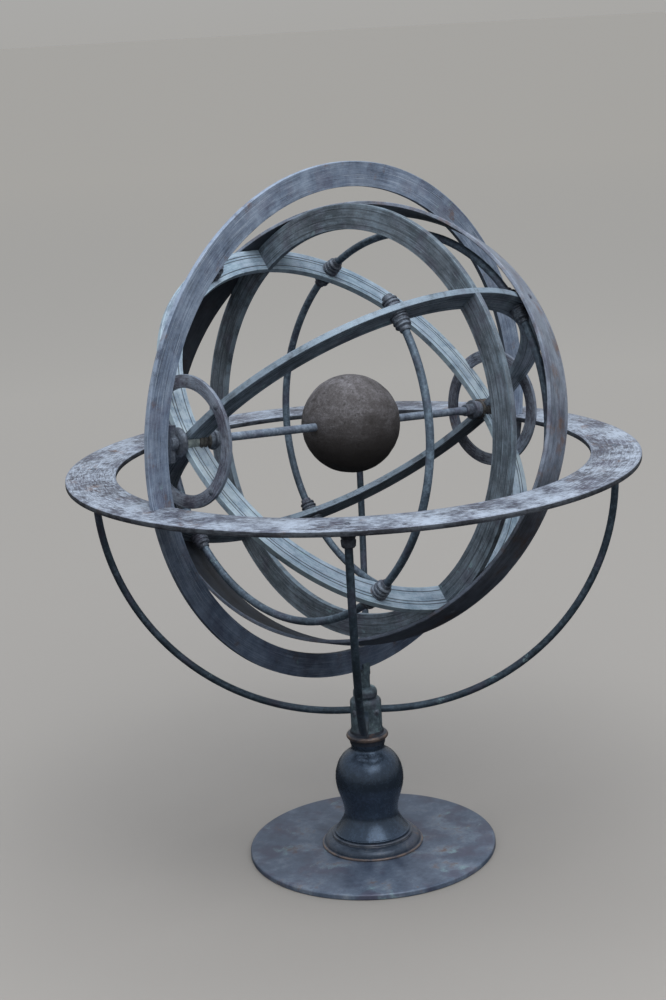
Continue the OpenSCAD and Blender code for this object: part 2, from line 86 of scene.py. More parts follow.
MERIDIAN_R = span("meridian_ring", 0) / 2
MERIDIAN_T = span("meridian_ring", 1)
MERIDIAN_W = 19.5 * MM
MERIDIAN_IN = MERIDIAN_R - MERIDIAN_W

SPHERE_W = 20 * MM
SPHERE_T = 5 * MM
SPHERE_R = MERIDIAN_IN - 13.5 * MM
SPHERE_IN = SPHERE_R - SPHERE_W
LAP_R = SPHERE_R - SPHERE_W / 2
OBLIQUITY = radians(23.5)
SPHERE_TURN = radians(41)
BAND_IN = SPHERE_R + 0.05 * MM
BAND_T = 3 * MM
BAND_R = BAND_IN + BAND_T
BAND_W = 38 * MM
TROPIC_D = 6.2 * MM
TROPIC_R = LAP_R * cos(OBLIQUITY)
TROPIC_Z = LAP_R * sin(OBLIQUITY)
TIP_LEN = 13 * MM
TIP_R = 7 * MM
POLAR_R = 50 * MM
POLAR_W = 10 * MM
POLAR_T = 3 * MM
POLAR_Z = sqrt(SPHERE_R ** 2 - POLAR_R ** 2)
BOSS_R = 8.5 * MM
BOSS_OUT = SPHERE_R + 2 * MM
BOSS_LEN = 26 * MM
COLURE_IN_BOSS = 1.5 * MM
POLE_COLLAR_LEN = 16 * MM
NUT_R, NUT_LEN = 11.5 * MM, 4.5 * MM
FIT = 0.05 * MM         # between pieces that meet
AXLE_R = 3.25 * MM
BALL_R = span("earth_ball", 0) / 2
BALL_ROOM = 0.5 * MM                        # room for the dents to stand proud
BALL_DENTS = ((0.35, 2.2), (0.2, 7.0))      # depth in mm, and how often

ROD_D = 6 * MM
ROD_R = HORIZON_IN + HORIZON_W / 2
ROD_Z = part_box("cradle_rod_1")[0].z + ROD_D / 2
FERRULE_H = 13 * MM
FERRULE_R = 8.5 * MM
FERRULE_Z = HORIZON_TOP - HORIZON_T - FERRULE_H
ROD_STRAIGHT = 6 * MM
ROD_CLEAR = 13 * MM     # no bend starts nearer the middle of the head than this
ROD_IN_HEAD = 7 * MM
ROD_BEND = min(FERRULE_Z - ROD_Z, ROD_R - ROD_CLEAR - ROD_STRAIGHT)
ROD_SPACING = [45, 135, 225, 315]


# ---------- frames that the rings are made in, each with its axis along Z ----------

def turn(angle, axis):
    return Matrix.Rotation(angle, 4, axis)


def place(z):
    return Matrix.Translation((0, 0, z))


POLE_HEIGHT = asin(POLE.z)
ON_MERIDIAN = Matrix.Translation(CENTRE) @ turn(POLE_HEIGHT - pi / 2, "Y")
ON_SPHERE = ON_MERIDIAN @ turn(SPHERE_TURN, "Z")
ON_HORIZON = place(HORIZON_TOP)
MERIDIAN_FRAME = Matrix.Translation(CENTRE) @ turn(pi / 2, "X")
BAND_FRAME = ON_SPHERE @ turn(OBLIQUITY, "X")
COLUMN = Matrix.Identity(4)


def colure_frame(angle):
    return ON_SPHERE @ turn(angle, "Z") @ turn(pi / 2, "X")


def pole_frame(north):
    return ON_SPHERE if north else ON_SPHERE @ turn(pi, "X")


# ---------- shapes ----------

WELD = 0.01 * MM
SHARP = 32          # an edge turning by more degrees than this is drawn sharp
RING_SHARP = 18     # the same on the rings, where grooves are shallow
SOFT_SHARP = 50     # the same on the baluster, whose curves run into each other
EASED = 0.4 * MM    # how far a ring's edges are eased
ROUNDING = 0.3      # where the middle of an eased edge lies, as a share of it
GROOVE_W = 0.5 * MM
GROOVE_DEPTH = 0.12 * MM


def arc(r, z, rad, start, end, steps):
    """A round stretch of an outline, about (r, z)."""
    out = []
    for i in range(steps + 1):
        a = radians(start + (end - start) * i / steps)
        out.append((r + rad * cos(a), z + rad * sin(a)))
    return out


def swell(r1, z1, r2, z2, steps):
    """A smooth S-shaped stretch of an outline."""
    out = []
    for i in range(steps + 1):
        s = i / steps
        out.append((r1 + (r2 - r1) * (1 - cos(pi * s)) / 2, z1 + (z2 - z1) * s))
    return out


def outline_mesh(outline, closed):
    bm = bmesh.new()
    verts = [bm.verts.new((r, 0, z)) for r, z in outline]
    edges = [bm.edges.new(pair) for pair in zip(verts, verts[1:])]
    if closed:
        edges.append(bm.edges.new((verts[-1], verts[0])))
    return bm, verts, edges


def spun(outline, *, steps, closed=False):
    """A full turn of an outline about Z."""
    bm, verts, edges = outline_mesh(outline, closed)
    bmesh.ops.spin(bm, geom=verts + edges, cent=(0, 0, 0), axis=(0, 0, 1),
                   angle=2 * pi, steps=steps, use_merge=True)
    bmesh.ops.remove_doubles(bm, verts=bm.verts, dist=WELD)
    return bm


def part_spun(outline, start, end, steps):
    """Part of a turn of a closed outline about Z, with its ends closed."""
    bm, verts, edges = outline_mesh(outline, True)
    first = bm.faces.new(verts)
    bmesh.ops.rotate(bm, verts=bm.verts, cent=(0, 0, 0), matrix=Matrix.Rotation(start, 3, "Z"))
    bmesh.ops.spin(bm, geom=[first] + verts + edges, cent=(0, 0, 0),
                   axis=(0, 0, 1), angle=end - start, steps=steps, use_duplicate=False)
    return bm


def ring_outline(outer, inner, t, grooves=(), edge=EASED):
    """A flat ring's section: eased edges and shallow grooves on both faces."""
    half = t / 2
    corner = edge * ROUNDING
    top = [(outer, half - edge), (outer - corner, half - corner), (outer - edge, half)]
    for g in sorted(grooves, reverse=True):
        top += [(g + GROOVE_W / 2, half), (g, half - GROOVE_DEPTH), (g - GROOVE_W / 2, half)]
    top += [(inner + edge, half), (inner + corner, half - corner), (inner, half - edge)]
    return top + [(r, -z) for r, z in reversed(top)]


def finish_mesh(bm, name, matrix, sharp=SHARP):
    """Closes a bmesh into an object that sits at the origin, with its place in its mesh."""
    bm.transform(matrix)
    bmesh.ops.recalc_face_normals(bm, faces=bm.faces)
    mesh = bpy.data.meshes.new(name)
    bm.to_mesh(mesh)
    bm.free()
    mesh.shade_smooth()
    mesh.set_sharp_from_angle(angle=radians(sharp))
    piece = bpy.data.objects.new(name, mesh)
    bpy.context.scene.collection.objects.link(piece)
    return piece


def join(parts):
    """Joins several bmeshes into one."""
    whole = bmesh.new()
    for bm in parts:
        mesh = bpy.data.meshes.new("part")
        bm.to_mesh(mesh)
        bm.free()
        whole.from_mesh(mesh)
        bpy.data.meshes.remove(mesh)
    return whole


def moved(bm, matrix):
    bm.transform(matrix)
    return bm


def dress(piece, body, slot, material, *nodes):
    """Gives a piece its finish, the body it rides on and the nodes that it stands in for."""
    piece.data.materials.clear()
    piece.data.materials.append(material)
    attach(piece, body)
    if nodes:
        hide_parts(*nodes)


def cut(piece, cutter_bm):
    """Cuts a slot out of a piece."""
    mesh = bpy.data.meshes.new("cutter")
    cutter_bm.to_mesh(mesh)
    cutter_bm.free()
    cutter = bpy.data.objects.new("cutter", mesh)
    bpy.context.scene.collection.objects.link(cutter)
    mod = piece.modifiers.new("slot", "BOOLEAN")
    mod.operation = "DIFFERENCE"
    mod.solver = "EXACT"
    mod.object = cutter
    bpy.context.view_layer.update()
    graph = bpy.context.evaluated_depsgraph_get()
    cut_mesh = bpy.data.meshes.new_from_object(piece.evaluated_get(graph))
    piece.modifiers.clear()
    old = piece.data
    piece.data = cut_mesh
    cut_mesh.name = old.name + "_cut"
    bpy.data.meshes.remove(old)
    bpy.data.objects.remove(cutter)
    bpy.data.meshes.remove(mesh)
    piece.data.set_sharp_from_angle(angle=radians(SHARP))


# ---------- materials ----------

PER_METRE = 1000    # a finish is laid out in millimetres
MIX_A, MIX_B, MIX_OUT = 6, 7, 2     # the colour sockets of a Mix node


class Finish:
    """Builds one metal finish from nodes, in millimetres of a piece's own frame."""

    def __init__(self, name, matrix):
        self.material = bpy.data.materials.new(name)
        self.material.use_nodes = True
        self.tree = self.material.node_tree
        self.shader = self.tree.nodes["Principled BSDF"]
        coords = self.tree.nodes.new("ShaderNodeTexCoord")
        to_piece = matrix.inverted()
        mapping = self.tree.nodes.new("ShaderNodeMapping")
        mapping.inputs["Scale"].default_value = (PER_METRE, PER_METRE, PER_METRE)
        mapping.inputs["Rotation"].default_value = to_piece.to_euler()
        mapping.inputs["Location"].default_value = to_piece.translation * PER_METRE
        self.link(coords.outputs["Object"], mapping.inputs["Vector"])
        self.place = mapping.outputs["Vector"]
        # Radius and height about the piece's axis, and the direction round it
        split = self.tree.nodes.new("ShaderNodeSeparateXYZ")
        self.link(self.place, split.inputs[0])
        x, self.y, self.height = split.outputs
        self.radius = self.maths("SQRT", self.maths(
            "ADD", self.maths("MULTIPLY", x, x), self.maths("MULTIPLY", self.y, self.y)))
        out = self.maths("MAXIMUM", self.radius, 0.001)
        self.across = self.maths("DIVIDE", x, out)
        self.along = self.maths("DIVIDE", self.y, out)

    def link(self, out, socket):
        self.tree.links.new(out, socket)

    def put(self, value, socket):
        if isinstance(value, bpy.types.NodeSocket):
            self.link(value, socket)
        else:
            socket.default_value = value

    def maths(self, operation, a, b=0.0):
        node = self.tree.nodes.new("ShaderNodeMath")
        node.operation = operation
        self.put(a, node.inputs[0])
        self.put(b, node.inputs[1])
        return node.outputs[0]

    def blend(self, *parts):
        """Adds up patterns, each with its share."""
        total = self.maths("MULTIPLY", *parts[0])
        for pattern, share in parts[1:]:
            total = self.maths("ADD", total, self.maths("MULTIPLY", pattern, share))
        return total

    def grain_place(self, length, fineness):
        """A place whose noise is drawn out round the ring: long round it, fine across it."""
        combine = self.tree.nodes.new("ShaderNodeCombineXYZ")
        self.link(self.maths("MULTIPLY", self.across, length), combine.inputs[0])
        self.link(self.maths("MULTIPLY", self.along, length), combine.inputs[1])
        depth = self.maths("ADD", self.radius, self.height)
        self.link(self.maths("MULTIPLY", depth, fineness), combine.inputs[2])
        return combine.outputs[0]

    def noise(self, scale, detail, rough, place=None):
        node = self.tree.nodes.new("ShaderNodeTexNoise")
        self.link(place or self.place, node.inputs["Vector"])
        node.inputs["Scale"].default_value = scale
        node.inputs["Detail"].default_value = detail
        node.inputs["Roughness"].default_value = rough
        return node.outputs[0]

    def ramp(self, factor, stops):
        node = self.tree.nodes.new("ShaderNodeValToRGB")
        fill_ramp(node.color_ramp, stops)
        self.link(factor, node.inputs[0])
        return node.outputs[0]

    def window(self, factor, low, high):
        """Rises from 0 at low to 1 at high."""
        node = self.tree.nodes.new("ShaderNodeMapRange")
        node.interpolation_type = "SMOOTHSTEP"
        self.link(factor, node.inputs["Value"])
        node.inputs["From Min"].default_value = low
        node.inputs["From Max"].default_value = high
        return node.outputs[0]

    def near(self, value, at, width):
        """1 where value is within width of at, falling off softly."""
        away = self.maths("ABSOLUTE", self.maths("SUBTRACT", value, at))
        return self.maths("SUBTRACT", 1.0, self.window(away, width * 0.5, width))

    def lay(self, under, over, mask, share=None, how="MIX"):
        """Lays a colour over another where the mask is, at most by the share given."""
        node = self.tree.nodes.new("ShaderNodeMix")
        node.data_type = "RGBA"
        node.blend_type = how
        self.link(mask if share is None else self.maths("MULTIPLY", mask, share), node.inputs[0])
        for value, socket in ((under, node.inputs[MIX_A]), (over, node.inputs[MIX_B])):
            self.put((*value, 1) if isinstance(value, tuple) else value, socket)
        return node.outputs[MIX_OUT]

    def bump(self, height, strength, distance):
        node = self.tree.nodes.new("ShaderNodeBump")
        node.inputs["Strength"].default_value = strength
        node.inputs["Distance"].default_value = distance * MM
        self.link(height, node.inputs["Height"])
        self.link(node.outputs[0], self.shader.inputs["Normal"])

    def done(self, colour, rough, metal):
        self.put(colour, self.shader.inputs["Base Color"])
        self.put(rough, self.shader.inputs["Roughness"])
        self.shader.inputs["Metallic"].default_value = metal
        return self.material


def fill_ramp(color_ramp, stops):
    while len(color_ramp.elements) < len(stops):
        color_ramp.elements.new(0.5)
    for element, (at, colour) in zip(color_ramp.elements, stops):
        element.position = at
        element.color = (*colour, 1)


def linear(r, g, b):
    """A screen colour, 0 to 255, as light."""
    return tuple(c / 255 / 12.92 if c / 255 <= 0.04045 else ((c / 255 + 0.055) / 1.055) ** 2.4
                 for c in (r, g, b))


VERDIGRIS = linear(150, 180, 184)
RUST = linear(122, 92, 76)
SOOT_AND_SHADE = linear(30, 32, 36)
COPPER = linear(136, 116, 104)
BLEACHED = linear(196, 206, 220)
POLE_BLEACHED = linear(196, 206, 208)
PURPLE = linear(86, 76, 96)
PAINTED_SHADE_TINT = (0.30, 0.33, 0.38)

# How many marks of each pattern there are to a millimetre
CLOUDS, BLOTCHES, SPECKS = 0.020, 0.10, 0.60
BLOOMS, STAINS, PATCHES, DRIFTS = 0.035, 0.045, 0.22, 0.03

INK_W = 0.6         # width of the dark line in a groove, mm
SIDE_W = 0.3        # width of the painted shade line on a ring's side face, mm
FILLET_W = 1.5      # width of the bare metal on a worn fillet, mm
POLE_FROM, POLE_TO = 128, 172       # how far up a colure the bleaching starts and is full, mm


def patina(name, matrix, dark, mid, light, streak=True, grain=(7, 0.62), spread=0.12, metal=0.25,
           rough=(0.42, 0.62), purple=0.35, chalk=0.0, scratches=0.0, verdigris=0.0, rust=0.0,
           grooves=(), ink=0.5, worn_and_lit_edges=(), shaded_sides=(), fillet=None, painted_shade_side=None, poles=0.0,
           grit=0.30, spot=0.06):
    """Weathered bronze: clouds of tone, grain, bleached streaks, scratches, green and rust, with
    painted shade on one side and on a ring's side faces, and edges lightened by wear and painted
    highlight.
    """
    f = Finish(name, matrix)
    clouds = f.noise(CLOUDS, 3, 0.55)
    blotches = f.noise(BLOTCHES, 6, 0.65)
    specks = f.noise(SPECKS, 4, 0.7)
    if streak:
        fibres = f.noise(1.0, 6, 0.66, f.grain_place(*grain))
    else:
        fibres = f.noise(grit, 6, 0.6)
    tone = f.blend((fibres, 0.36), (blotches, 0.30), (clouds, 0.24), (specks, 0.10))
    colour = f.ramp(tone, [(0.5 - spread, dark), (0.5, mid), (0.5 + spread, light)])
    if purple:
        colour = f.lay(colour, PURPLE, f.window(f.noise(BLOOMS, 4, 0.6), 0.50, 0.64), purple)
    if chalk:
        # Short pale streaks, thicker in some stretches than in others
        length, fineness = grain
        fine = f.noise(1.0, 7, 0.78, f.grain_place(length * 1.4, fineness)) if streak else blotches
        fine = f.blend((fine, 0.60), (f.noise(PATCHES, 7, 0.78), 0.40))
        drift = f.maths("MULTIPLY", f.maths("SUBTRACT", f.noise(DRIFTS, 3, 0.6), 0.5), 0.5)
        mask = f.window(f.maths("ADD", fine, drift), 0.40, 0.61)
        colour = f.lay(colour, BLEACHED, mask, chalk)
    if scratches:
        thin = f.window(f.noise(1.0, 4, 0.7, f.grain_place(5, 2.4)), 0.56, 0.64)
        colour = f.lay(colour, BLEACHED, thin, scratches)
    if verdigris:
        green = f.window(f.noise(spot, 5, 0.7), 0.66 - verdigris * 0.12, 0.72)
        colour = f.lay(colour, VERDIGRIS, green, 0.75)
    if rust:
        brown = f.window(f.noise(STAINS, 6, 0.72), 0.62 - rust * 0.14, 0.72)
        colour = f.lay(colour, RUST, brown, 0.8)
    if poles:
        # The ring is bleached where it nears the poles
        high = f.window(f.maths("ABSOLUTE", f.y), POLE_FROM, POLE_TO)
        high = f.maths("MULTIPLY", high, f.window(blotches, 0.36, 0.58))
        colour = f.lay(colour, POLE_BLEACHED, high, poles)
    for at in grooves:
        colour = f.lay(colour, SOOT_AND_SHADE, f.near(f.radius, at / MM, INK_W), ink)
    # Edges lightened: partly wear, partly a painted highlight where a rim catches the light
    for at, width in worn_and_lit_edges:
        rim_wear_and_highlight = f.maths("MULTIPLY", f.near(f.radius, at / MM, width), f.window(blotches, 0.34, 0.56))
        colour = f.lay(colour, light, rim_wear_and_highlight, 0.65)
    if fillet:
        line = f.near(f.radius, fillet / MM, FILLET_W)
        worn = f.maths("MULTIPLY", line, f.window(blotches, 0.30, 0.60))
        colour = f.lay(colour, COPPER, worn, 0.8)
    # Painted shade: a dark line on the ring's side faces, where the light does not reach
    for at in shaded_sides:
        colour = f.lay(colour, SOOT_AND_SHADE, f.near(f.radius, at / MM, SIDE_W), 0.8)
    if painted_shade_side:
        # Painted shade: one side of the piece is darkened as if turned from the light: (x, y, z)
        # of the dark side, from, to, how much
        side, start, end, amount = painted_shade_side
        dot = f.tree.nodes.new("ShaderNodeVectorMath")
        dot.operation = "DOT_PRODUCT"
        f.link(f.place, dot.inputs[0])
        dot.inputs[1].default_value = side
        shade = f.window(dot.outputs["Value"], start, end)
        colour = f.lay(colour, PAINTED_SHADE_TINT, shade, amount, "MULTIPLY")
    f.bump(f.blend((fibres, 0.6), (specks, 0.5)), 0.3, 0.35)
    roughness = f.tree.nodes.new("ShaderNodeMapRange")
    f.link(tone, roughness.inputs["Value"])
    roughness.inputs["From Min"].default_value = 0.38
    roughness.inputs["From Max"].default_value = 0.62
    roughness.inputs["To Min"].default_value = rough[0]
    roughness.inputs["To Max"].default_value = rough[1]
    return f.done(colour, roughness.outputs[0], metal)


COLURE_GROOVES = [SPHERE_R - 5 * MM, SPHERE_R - 7.5 * MM, SPHERE_IN + 4 * MM]
EQUATOR_GROOVES = [SPHERE_R - 4 * MM, SPHERE_R - 11 * MM, SPHERE_IN + 3.5 * MM]

# Painted shade on the side faces; edges lightened by wear and painted highlight
horizon_bronze = patina(
    "horizon_bronze", ON_HORIZON, linear(46, 44, 54), linear(76, 76, 88), linear(122, 128, 144),
    grain=(15, 0.75), purple=0.25, chalk=0.85, rust=0.35, shaded_sides=(HORIZON_R, HORIZON_IN),
    worn_and_lit_edges=[(HORIZON_R - 0.8 * MM, 0.8), (HORIZON_IN + 0.8 * MM, 0.8)])
# Painted shade: darkened below the middle, where the horizon ring shades it, and on the inner side
# face; edges lightened by wear and painted highlight
meridian_bronze = patina(
    "meridian_bronze", MERIDIAN_FRAME, linear(66, 76, 94), linear(116, 130, 152),
    linear(162, 176, 196), grain=(6, 1.1), purple=0.35, chalk=0.2, scratches=0.75,
    verdigris=0.15, rust=0.35, worn_and_lit_edges=[(MERIDIAN_R, 1.0), (MERIDIAN_IN, 0.8)],
    shaded_sides=(MERIDIAN_IN,), painted_shade_side=((0, -1, 0), 20, 120, 0.9))
# Edges lightened by wear and painted highlight
equator_bronze = patina(
    "equator_bronze", ON_SPHERE, linear(52, 60, 66), linear(86, 96, 104), linear(132, 148, 160),
    scratches=0.35, verdigris=0.2, grooves=EQUATOR_GROOVES, ink=0.4,
    worn_and_lit_edges=[(SPHERE_R - 0.8 * MM, 0.9), (SPHERE_IN, 0.8)], chalk=0.15)
rod_bronze = patina(
    "rod_bronze", COLUMN, linear(42, 52, 60), linear(60, 74, 86), linear(92, 108, 122),
    streak=False, metal=0.4, verdigris=0.2)
tropic_bronze = patina(
    "tropic_bronze", ON_SPHERE, linear(56, 66, 76), linear(84, 98, 112), linear(124, 142, 156),
    streak=False, verdigris=0.3)
# Painted shade: darkened on the side that faces down, and on the inner side face
band_bronze = patina(
    "band_bronze", BAND_FRAME, linear(72, 78, 88), linear(112, 120, 134), linear(152, 160, 176),
    verdigris=0.1, rust=0.9, chalk=0.25, scratches=0.2, shaded_sides=(BAND_IN,),
    painted_shade_side=(tuple(BAND_FRAME.to_3x3().inverted() @ Vector((0, 0, -1))), 10, 130, 0.8))
# Edges lightened by wear and painted highlight
polar_bronze = patina(
    "polar_bronze", ON_SPHERE, linear(50, 48, 56), linear(78, 78, 90), linear(122, 132, 146),
    rust=0.35, worn_and_lit_edges=[(POLAR_R, 1.0), (POLAR_R - POLAR_W, 0.8)], chalk=0.35,
    scratches=0.4, grain=(4, 0.8))
column_bronze = patina(
    "column_bronze", COLUMN, linear(46, 55, 66), linear(66, 79, 95), linear(90, 106, 126),
    streak=False, spread=0.25, metal=0.6, rough=(0.24, 0.31), purple=0.05)
# Painted shade: the base is darkened on the side away from the lamps
base_bronze = patina(
    "base_bronze", COLUMN, linear(66, 76, 96), linear(106, 118, 136), linear(156, 166, 178),
    streak=False, spread=0.14, metal=0.2, rough=(0.38, 0.56), verdigris=0.62, rust=0.45,
    purple=0.5, painted_shade_side=((0.34, 0.85, 0), -100, 30, 0.6), grit=0.045, spot=0.04)
collar_bronze = patina(
    "collar_bronze", COLUMN, linear(42, 48, 56), linear(60, 66, 76), linear(84, 92, 104),
    streak=False, spread=0.2, metal=0.45, rough=(0.30, 0.44), purple=0.1, rust=0.3,
    fillet=COLLAR_R)
flange_bronze = patina(
    "flange_bronze", COLUMN, linear(46, 54, 66), linear(66, 76, 90), linear(110, 112, 118),
    streak=False, spread=0.2, metal=0.45, rough=(0.28, 0.42), purple=0.15, rust=0.3,
    worn_and_lit_edges=[(FOOT_R - 0.3 * MM, 0.7)], fillet=FLANGE_R)
head_bronze = patina(
    "head_bronze", COLUMN, linear(48, 56, 62), linear(76, 90, 98), linear(112, 130, 138),
    streak=False, verdigris=0.6)
fitting_bronze = patina(
    "fitting_bronze", COLUMN, linear(58, 62, 70), linear(92, 98, 108), linear(134, 144, 156),
    streak=False, metal=0.4, rust=0.4)
boss_bronze = patina(
    "boss_bronze", ON_SPHERE, linear(84, 92, 92), linear(130, 140, 138), linear(176, 184, 180),
    streak=False, verdigris=0.3, rust=0.3, purple=0.1)
ring_dark = patina(
    "ring_dark", ON_SPHERE, linear(36, 36, 36), linear(62, 60, 58), linear(104, 104, 98),
    streak=False, verdigris=0.35, rust=0.4, purple=0.1)
axle_bronze = patina(
    "axle_bronze", ON_SPHERE, linear(96, 104, 118), linear(136, 148, 164), linear(182, 194, 208),
    streak=False, metal=0.5, rough=(0.32, 0.5))


def ball_finish():
    """Rough turned ball, brown and pitted, with painted shade darkening its lower side."""
    f = Finish("ball_finish", Matrix.Translation(CENTRE))
    clouds = f.noise(0.05, 4, 0.6)
    grit = f.noise(0.5, 8, 0.75)
    pits = f.noise(0.16, 5, 0.6)
    turning = f.noise(1.0, 5, 0.7, f.grain_place(2.5, 0.3))
    tone = f.blend((grit, 0.35), (clouds, 0.35), (turning, 0.30))
    colour = f.ramp(tone, [(0.38, linear(56, 50, 48)), (0.50, linear(98, 93, 94)),
                           (0.62, linear(146, 142, 146))])
    # Painted shade: the lower side of the ball is darkened as if in its own shadow
    lit_upper_mask = f.window(f.height, -25, 41)
    colour = f.lay(colour, linear(48, 43, 41), f.maths("SUBTRACT", 1.0, lit_upper_mask))
    colour = f.lay(colour, linear(40, 34, 32), f.window(pits, 0.60, 0.68), 0.6)
    f.bump(f.blend((grit, 1.0), (pits, -0.8)), 0.7, 1.2)
    return f.done(colour, 0.72, 0.1)


ball_skin = ball_finish()


# The colures' edges are lightened, partly as wear and partly as a painted highlight
def colure_bronze(angle, name, dark, mid, light, **more):
    return patina(name, colure_frame(angle), dark, mid, light, grooves=COLURE_GROOVES,
                  worn_and_lit_edges=[(SPHERE_R, 1.0), (SPHERE_IN, 0.8)], scratches=0.35, **more)


# Painted light: the equinoctial colure gets a paler, bluer copy of the finish, as if lit by the
# sky, and the solstitial colure a darker copy, as if in shade
SKY_LIT_BLUE = (linear(92, 110, 124), linear(134, 154, 170), linear(178, 198, 208))
SHADED_GREY = (linear(54, 64, 72), linear(90, 102, 112), linear(140, 156, 170))
equinox_lit_bronze = colure_bronze(0, "equinox_lit_bronze", *SKY_LIT_BLUE, verdigris=0.3, chalk=0.45, purple=0.1,
                               ink=0.75, poles=0.55)
solstice_shaded_bronze = colure_bronze(pi / 2, "solstice_shaded_bronze", *SHADED_GREY, verdigris=0.2, chalk=0.2)


# ---------- column ----------

def base_plate():
    under, rim_wear_and_highlight, border, dish = 0.8 * MM, 1.6 * MM, 12 * MM, 0.05 * MM
    outline = [(0, 0), (BASE_R - under, 0), (BASE_R, under)]
    outline += arc(BASE_R - rim_wear_and_highlight, BASE_TOP - rim_wear_and_highlight, rim_wear_and_highlight, 0, 90, 6)
    outline += [(BASE_R - border, BASE_TOP - dish), (0, BASE_TOP)]
    piece = finish_mesh(spun(outline, steps=192), "base_disc", COLUMN)
    dress(piece, "base", "base_metal", base_bronze, "base_plate")


def base_flange():
    """An ovolo between a thin bead above and a worn fillet on the plate."""
    top, low = FLANGE_TOP, BASE_TOP
    fillet, bead = 1 * MM, 1.2 * MM
    ovolo_in, ovolo_low = FOOT_R - 0.4 * MM, low + 2.2 * MM
    ovolo_w, ovolo_h = FLANGE_R - FOOT_R - 1.6 * MM, top - low - 4.8 * MM
    outline = [(0, low), (FLANGE_R - fillet / 2, low)]
    outline += arc(FLANGE_R - fillet, low + fillet, fillet, -60, 90, 8)
    for a in range(0, 91, 6):
        outline.append((ovolo_in + ovolo_w * cos(radians(a)),
                        ovolo_low + ovolo_h * sin(radians(a))))
    outline += arc(FOOT_R - bead, top - bead, bead, -60, 90, 10)
    outline += [(FOOT_R - 2 * bead, top), (0, top)]
    piece = finish_mesh(spun(outline, steps=160), "turned_flange", COLUMN)
    dress(piece, "base", "column_metal", flange_bronze, "base_flange")


def baluster():
    """A flared foot, a waist, a full bulb and a short neck."""
    low, high = FLANGE_TOP, BALUSTER_TOP
    tall = high - low
    foot, waist, neck = FOOT_R - 2.2 * MM, 22.5 * MM, 13.75 * MM
    torus = 0.9 * MM
    flare_r, flare_z = foot - 1.2 * MM, low + 1.8 * MM
    waist_z = low + tall * 0.22
    bulb_z = low + tall * 0.6
    neck_z = low + tall * 0.93
    neck_hollow = 5 * MM
    outline = [(0, low), (foot - 0.4 * MM, low)]
    outline += arc(foot - torus, low + torus, torus, -40, 90, 8)
    for i in range(15):
        t = i / 16
        outline.append((waist + (flare_r - waist) * (1 - t) ** 1.5,
                        flare_z + (waist_z - flare_z) * t))
    outline += swell(waist, waist_z, BULB_R, bulb_z, 20)
    for a in range(5, 73, 4):
        outline.append((neck + (BULB_R - neck) * cos(radians(a)) ** 1.1,
                        bulb_z + (neck_z - bulb_z) * 0.92 * sin(radians(a))))
    shoulder_r, shoulder_z = outline[-1]
    for i in range(1, 11):
        t = i / 10
        outline.append((neck + (shoulder_r - neck) * (1 - t) ** 2, shoulder_z + neck_hollow * t))
    outline += [(neck + 0.3 * MM, high - 2 * MM), (neck + 1 * MM, high), (0, high)]
    piece = finish_mesh(spun(outline, steps=160), "baluster_turning", COLUMN, sharp=SOFT_SHARP)
    dress(piece, "base", "column_metal", column_bronze, "baluster")


def collar():
    low, high = BALUSTER_TOP, COLLAR_TOP
    tall = high - low
    lip, seat = 2.4 * MM, 14.75 * MM
    lip_z = low + tall * 0.55
    outline = [(0, low), (seat, low)]
    outline += swell(seat, low + 0.4 * MM, COLLAR_R - lip, lip_z - lip, 8)
    outline += arc(COLLAR_R - lip, lip_z, lip, -80, 90, 10)
    outline += [(HEAD_R + 1.2 * MM, lip_z + lip + 0.4 * MM), (HEAD_R + 0.8 * MM, high), (0, high)]
    piece = finish_mesh(spun(outline, steps=128), "turned_collar", COLUMN)
    dress(piece, "base", "column_metal", collar_bronze, "collar")


def cradle_head():
    low, high = COLLAR_TOP, HEAD_TOP
    rounding = 4 * MM
    outline = [(0, low), (HEAD_R + HEAD_FOOT, low), (HEAD_R, low + 2 * MM)]
    outline += arc(HEAD_R - rounding, high - rounding, rounding, 0, 90, 10)
    outline += [(0, high)]
    piece = finish_mesh(spun(outline, steps=128), "head_turning", COLUMN)
    dress(piece, "base", "column_metal", head_bronze, "cradle_head")


# ---------- cradle ----------

def cradle_rod(number, degrees_round):
    """A round rod: out of the head, through its bend, and up into its ferrule."""
    bm = bmesh.new()
    start = HEAD_R - ROD_IN_HEAD
    bend_x = ROD_R - ROD_BEND
    end_on = Matrix.Rotation(pi / 2, 3, "Y")
    made = bmesh.ops.create_circle(bm, segments=24, radius=ROD_D / 2, cap_ends=True)
    bmesh.ops.rotate(bm, verts=made["verts"], cent=(0, 0, 0), matrix=end_on)
    bmesh.ops.translate(bm, verts=made["verts"], vec=(start, 0, ROD_Z))
    end = extend(bm, bm.faces[:], (bend_x - start, 0, 0))
    turned = bmesh.ops.spin(bm, geom=end, cent=(bend_x, 0, ROD_Z + ROD_BEND), axis=(0, -1, 0),
                            angle=pi / 2, steps=64)
    end = [g for g in turned["geom_last"] if isinstance(g, bmesh.types.BMFace)]
    extend(bm, end, (0, 0, HORIZON_TOP - HORIZON_T - ROD_Z - ROD_BEND))
    bmesh.ops.remove_doubles(bm, verts=bm.verts, dist=0.001 * MM)
    piece = finish_mesh(bm, f"curved_rod_{number}", turn(radians(degrees_round), "Z"))
    dress(piece, "base", "rod_metal", rod_bronze, f"cradle_rod_{number}")


def extend(bm, faces, step):
    """Draws faces out by a step, and returns the faces at the far end."""
    made = bmesh.ops.extrude_face_region(bm, geom=faces)
    verts = [g for g in made["geom"] if isinstance(g, bmesh.types.BMVert)]
    bmesh.ops.translate(bm, verts=verts, vec=step)
    return [g for g in made["geom"] if isinstance(g, bmesh.types.BMFace)]


